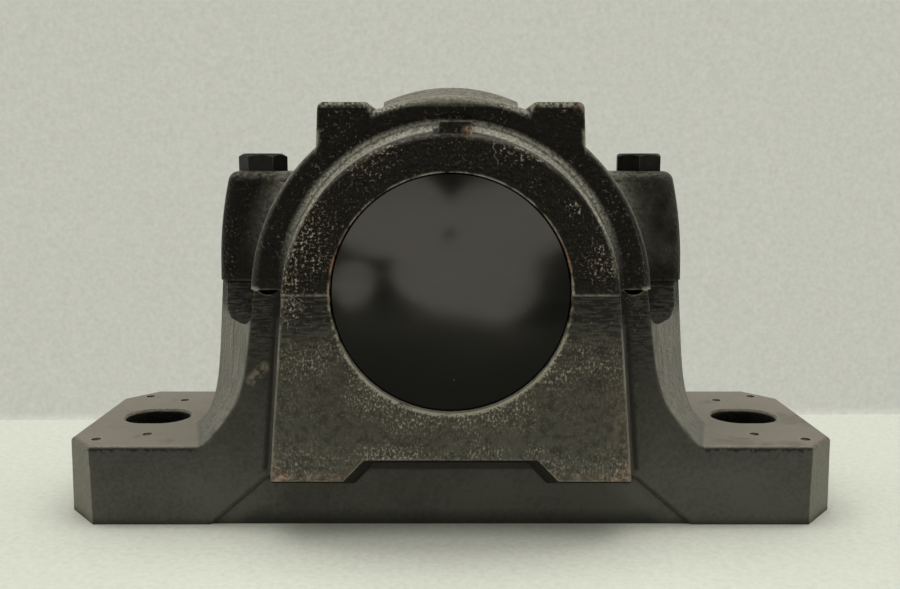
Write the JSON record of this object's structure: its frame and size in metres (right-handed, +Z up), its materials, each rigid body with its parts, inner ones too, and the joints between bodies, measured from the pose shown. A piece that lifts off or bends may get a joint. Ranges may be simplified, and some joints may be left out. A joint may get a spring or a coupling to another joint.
{
  "type": "pillow block bearing",
  "caption": "Split cast-iron pillow block with slotted feet, bolted cap and closed front, holding a self-aligning ball bearing on a tapered clamping sleeve.",
  "frame": {"origin": "on the mounting plane under the feet, straight below the middle of the bearing", "axes": "+X along the feet, +Y along the shaft towards its open end at the rear (the closed front faces -Y), +Z up"},
  "size_m": [0.315, 0.12, 0.1734],
  "materials": {
    "casting": "black painted rough casting, worn and rusty in spots",
    "bolts": "black oxide, satin",
    "steel": "ground",
    "gloss_cover": "high gloss, slightly uneven",
    "rubber": "matt",
    "seal_rubber": "matt",
    "ring_iron": "machined",
    "bearing_steel": "ground and oiled",
    "cage_steel": "pressed steel",
    "sleeve_steel": "turned"
  },
  "bodies": {
    "housing": {"base": "casting", "cap": "casting", "cap_bolts": "bolts", "dowel_pins": "steel", "grease_plug": "bolts", "end_cover": "gloss_cover", "end_cover_ring": "rubber", "seal_lower": "seal_rubber", "seal_upper": "seal_rubber", "locating_ring_front": "ring_iron", "locating_ring_rear": "ring_iron", "outer_ring": "bearing_steel"},
    "shaft_parts": {"inner_ring": "bearing_steel", "adapter_sleeve": "sleeve_steel", "lock_nut": "sleeve_steel", "lock_washer": "sleeve_steel"},
    "cage": {"cage": "cage_steel"},
    "ball_front_01": {"ball_front_01": "bearing_steel"},
    "ball_front_02": {"ball_front_02": "bearing_steel"},
    "ball_front_03": {"ball_front_03": "bearing_steel"},
    "ball_front_04": {"ball_front_04": "bearing_steel"},
    "ball_front_05": {"ball_front_05": "bearing_steel"},
    "ball_front_06": {"ball_front_06": "bearing_steel"},
    "ball_front_07": {"ball_front_07": "bearing_steel"},
    "ball_front_08": {"ball_front_08": "bearing_steel"},
    "ball_front_09": {"ball_front_09": "bearing_steel"},
    "ball_front_10": {"ball_front_10": "bearing_steel"},
    "ball_front_11": {"ball_front_11": "bearing_steel"},
    "ball_front_12": {"ball_front_12": "bearing_steel"},
    "ball_front_13": {"ball_front_13": "bearing_steel"},
    "ball_front_14": {"ball_front_14": "bearing_steel"},
    "ball_front_15": {"ball_front_15": "bearing_steel"},
    "ball_front_16": {"ball_front_16": "bearing_steel"},
    "ball_rear_01": {"ball_rear_01": "bearing_steel"},
    "ball_rear_02": {"ball_rear_02": "bearing_steel"},
    "ball_rear_03": {"ball_rear_03": "bearing_steel"},
    "ball_rear_04": {"ball_rear_04": "bearing_steel"},
    "ball_rear_05": {"ball_rear_05": "bearing_steel"},
    "ball_rear_06": {"ball_rear_06": "bearing_steel"},
    "ball_rear_07": {"ball_rear_07": "bearing_steel"},
    "ball_rear_08": {"ball_rear_08": "bearing_steel"},
    "ball_rear_09": {"ball_rear_09": "bearing_steel"},
    "ball_rear_10": {"ball_rear_10": "bearing_steel"},
    "ball_rear_11": {"ball_rear_11": "bearing_steel"},
    "ball_rear_12": {"ball_rear_12": "bearing_steel"},
    "ball_rear_13": {"ball_rear_13": "bearing_steel"},
    "ball_rear_14": {"ball_rear_14": "bearing_steel"},
    "ball_rear_15": {"ball_rear_15": "bearing_steel"},
    "ball_rear_16": {"ball_rear_16": "bearing_steel"}
  },
  "joints": [
    {"name": "shaft_spin", "type": "hinge", "parent": "housing", "child": "shaft_parts", "pos_m": [0, 0, 0.095], "axis": [0, 1, 0], "continuous": true},
    {"name": "cage_spin", "type": "hinge", "parent": "housing", "child": "cage", "pos_m": [0, 0, 0.095], "axis": [0, 1, 0], "continuous": true},
    {"name": "ball_front_01_spin", "type": "hinge", "parent": "cage", "child": "ball_front_01", "pos_m": [0, -0.0076, 0.1505], "axis": [0, 0.9908, 0.1357], "continuous": true},
    {"name": "ball_front_02_spin", "type": "hinge", "parent": "cage", "child": "ball_front_02", "pos_m": [0.02124, -0.0076, 0.14628], "axis": [0.0519, 0.9908, 0.1253], "continuous": true},
    {"name": "ball_front_03_spin", "type": "hinge", "parent": "cage", "child": "ball_front_03", "pos_m": [0.03924, -0.0076, 0.13424], "axis": [0.0959, 0.9908, 0.0959], "continuous": true},
    {"name": "ball_front_04_spin", "type": "hinge", "parent": "cage", "child": "ball_front_04", "pos_m": [0.05128, -0.0076, 0.11624], "axis": [0.1253, 0.9908, 0.0519], "continuous": true},
    {"name": "ball_front_05_spin", "type": "hinge", "parent": "cage", "child": "ball_front_05", "pos_m": [0.0555, -0.0076, 0.095], "axis": [0.1357, 0.9908, 0], "continuous": true},
    {"name": "ball_front_06_spin", "type": "hinge", "parent": "cage", "child": "ball_front_06", "pos_m": [0.05128, -0.0076, 0.07376], "axis": [0.1253, 0.9908, -0.0519], "continuous": true},
    {"name": "ball_front_07_spin", "type": "hinge", "parent": "cage", "child": "ball_front_07", "pos_m": [0.03924, -0.0076, 0.05576], "axis": [0.0959, 0.9908, -0.0959], "continuous": true},
    {"name": "ball_front_08_spin", "type": "hinge", "parent": "cage", "child": "ball_front_08", "pos_m": [0.02124, -0.0076, 0.04372], "axis": [0.0519, 0.9908, -0.1253], "continuous": true},
    {"name": "ball_front_09_spin", "type": "hinge", "parent": "cage", "child": "ball_front_09", "pos_m": [0, -0.0076, 0.0395], "axis": [0, 0.9908, -0.1357], "continuous": true},
    {"name": "ball_front_10_spin", "type": "hinge", "parent": "cage", "child": "ball_front_10", "pos_m": [-0.02124, -0.0076, 0.04372], "axis": [-0.0519, 0.9908, -0.1253], "continuous": true},
    {"name": "ball_front_11_spin", "type": "hinge", "parent": "cage", "child": "ball_front_11", "pos_m": [-0.03924, -0.0076, 0.05576], "axis": [-0.0959, 0.9908, -0.0959], "continuous": true},
    {"name": "ball_front_12_spin", "type": "hinge", "parent": "cage", "child": "ball_front_12", "pos_m": [-0.05128, -0.0076, 0.07376], "axis": [-0.1253, 0.9908, -0.0519], "continuous": true},
    {"name": "ball_front_13_spin", "type": "hinge", "parent": "cage", "child": "ball_front_13", "pos_m": [-0.0555, -0.0076, 0.095], "axis": [-0.1357, 0.9908, 0], "continuous": true},
    {"name": "ball_front_14_spin", "type": "hinge", "parent": "cage", "child": "ball_front_14", "pos_m": [-0.05128, -0.0076, 0.11624], "axis": [-0.1253, 0.9908, 0.0519], "continuous": true},
    {"name": "ball_front_15_spin", "type": "hinge", "parent": "cage", "child": "ball_front_15", "pos_m": [-0.03924, -0.0076, 0.13424], "axis": [-0.0959, 0.9908, 0.0959], "continuous": true},
    {"name": "ball_front_16_spin", "type": "hinge", "parent": "cage", "child": "ball_front_16", "pos_m": [-0.02124, -0.0076, 0.14628], "axis": [-0.0519, 0.9908, 0.1253], "continuous": true},
    {"name": "ball_rear_01_spin", "type": "hinge", "parent": "cage", "child": "ball_rear_01", "pos_m": [0.01083, 0.0076, 0.14943], "axis": [-0.0265, 0.9908, -0.1331], "continuous": true},
    {"name": "ball_rear_02_spin", "type": "hinge", "parent": "cage", "child": "ball_rear_02", "pos_m": [0.03083, 0.0076, 0.14115], "axis": [-0.0754, 0.9908, -0.1128], "continuous": true},
    {"name": "ball_rear_03_spin", "type": "hinge", "parent": "cage", "child": "ball_rear_03", "pos_m": [0.04615, 0.0076, 0.12583], "axis": [-0.1128, 0.9908, -0.0754], "continuous": true},
    {"name": "ball_rear_04_spin", "type": "hinge", "parent": "cage", "child": "ball_rear_04", "pos_m": [0.05443, 0.0076, 0.10583], "axis": [-0.1331, 0.9908, -0.0265], "continuous": true},
    {"name": "ball_rear_05_spin", "type": "hinge", "parent": "cage", "child": "ball_rear_05", "pos_m": [0.05443, 0.0076, 0.08417], "axis": [-0.1331, 0.9908, 0.0265], "continuous": true},
    {"name": "ball_rear_06_spin", "type": "hinge", "parent": "cage", "child": "ball_rear_06", "pos_m": [0.04615, 0.0076, 0.06417], "axis": [-0.1128, 0.9908, 0.0754], "continuous": true},
    {"name": "ball_rear_07_spin", "type": "hinge", "parent": "cage", "child": "ball_rear_07", "pos_m": [0.03083, 0.0076, 0.04885], "axis": [-0.0754, 0.9908, 0.1128], "continuous": true},
    {"name": "ball_rear_08_spin", "type": "hinge", "parent": "cage", "child": "ball_rear_08", "pos_m": [0.01083, 0.0076, 0.04057], "axis": [-0.0265, 0.9908, 0.1331], "continuous": true},
    {"name": "ball_rear_09_spin", "type": "hinge", "parent": "cage", "child": "ball_rear_09", "pos_m": [-0.01083, 0.0076, 0.04057], "axis": [0.0265, 0.9908, 0.1331], "continuous": true},
    {"name": "ball_rear_10_spin", "type": "hinge", "parent": "cage", "child": "ball_rear_10", "pos_m": [-0.03083, 0.0076, 0.04885], "axis": [0.0754, 0.9908, 0.1128], "continuous": true},
    {"name": "ball_rear_11_spin", "type": "hinge", "parent": "cage", "child": "ball_rear_11", "pos_m": [-0.04615, 0.0076, 0.06417], "axis": [0.1128, 0.9908, 0.0754], "continuous": true},
    {"name": "ball_rear_12_spin", "type": "hinge", "parent": "cage", "child": "ball_rear_12", "pos_m": [-0.05443, 0.0076, 0.08417], "axis": [0.1331, 0.9908, 0.0265], "continuous": true},
    {"name": "ball_rear_13_spin", "type": "hinge", "parent": "cage", "child": "ball_rear_13", "pos_m": [-0.05443, 0.0076, 0.10583], "axis": [0.1331, 0.9908, -0.0265], "continuous": true},
    {"name": "ball_rear_14_spin", "type": "hinge", "parent": "cage", "child": "ball_rear_14", "pos_m": [-0.04615, 0.0076, 0.12583], "axis": [0.1128, 0.9908, -0.0754], "continuous": true},
    {"name": "ball_rear_15_spin", "type": "hinge", "parent": "cage", "child": "ball_rear_15", "pos_m": [-0.03083, 0.0076, 0.14115], "axis": [0.0754, 0.9908, -0.1128], "continuous": true},
    {"name": "ball_rear_16_spin", "type": "hinge", "parent": "cage", "child": "ball_rear_16", "pos_m": [-0.01083, 0.0076, 0.14943], "axis": [0.0265, 0.9908, -0.1331], "continuous": true}
  ],
  "couplings": [
    {"joint": "cage_spin", "follows": "shaft_spin", "ratio": 0.42207},
    {"joint": "ball_front_01_spin", "follows": "shaft_spin", "ratio": -3.101},
    {"joint": "ball_front_02_spin", "follows": "shaft_spin", "ratio": -3.101},
    {"joint": "ball_front_03_spin", "follows": "shaft_spin", "ratio": -3.101},
    {"joint": "ball_front_04_spin", "follows": "shaft_spin", "ratio": -3.101},
    {"joint": "ball_front_05_spin", "follows": "shaft_spin", "ratio": -3.101},
    {"joint": "ball_front_06_spin", "follows": "shaft_spin", "ratio": -3.101},
    {"joint": "ball_front_07_spin", "follows": "shaft_spin", "ratio": -3.101},
    {"joint": "ball_front_08_spin", "follows": "shaft_spin", "ratio": -3.101},
    {"joint": "ball_front_09_spin", "follows": "shaft_spin", "ratio": -3.101},
    {"joint": "ball_front_10_spin", "follows": "shaft_spin", "ratio": -3.101},
    {"joint": "ball_front_11_spin", "follows": "shaft_spin", "ratio": -3.101},
    {"joint": "ball_front_12_spin", "follows": "shaft_spin", "ratio": -3.101},
    {"joint": "ball_front_13_spin", "follows": "shaft_spin", "ratio": -3.101},
    {"joint": "ball_front_14_spin", "follows": "shaft_spin", "ratio": -3.101},
    {"joint": "ball_front_15_spin", "follows": "shaft_spin", "ratio": -3.101},
    {"joint": "ball_front_16_spin", "follows": "shaft_spin", "ratio": -3.101},
    {"joint": "ball_rear_01_spin", "follows": "shaft_spin", "ratio": -3.101},
    {"joint": "ball_rear_02_spin", "follows": "shaft_spin", "ratio": -3.101},
    {"joint": "ball_rear_03_spin", "follows": "shaft_spin", "ratio": -3.101},
    {"joint": "ball_rear_04_spin", "follows": "shaft_spin", "ratio": -3.101},
    {"joint": "ball_rear_05_spin", "follows": "shaft_spin", "ratio": -3.101},
    {"joint": "ball_rear_06_spin", "follows": "shaft_spin", "ratio": -3.101},
    {"joint": "ball_rear_07_spin", "follows": "shaft_spin", "ratio": -3.101},
    {"joint": "ball_rear_08_spin", "follows": "shaft_spin", "ratio": -3.101},
    {"joint": "ball_rear_09_spin", "follows": "shaft_spin", "ratio": -3.101},
    {"joint": "ball_rear_10_spin", "follows": "shaft_spin", "ratio": -3.101},
    {"joint": "ball_rear_11_spin", "follows": "shaft_spin", "ratio": -3.101},
    {"joint": "ball_rear_12_spin", "follows": "shaft_spin", "ratio": -3.101},
    {"joint": "ball_rear_13_spin", "follows": "shaft_spin", "ratio": -3.101},
    {"joint": "ball_rear_14_spin", "follows": "shaft_spin", "ratio": -3.101},
    {"joint": "ball_rear_15_spin", "follows": "shaft_spin", "ratio": -3.101},
    {"joint": "ball_rear_16_spin", "follows": "shaft_spin", "ratio": -3.101}
  ]
}
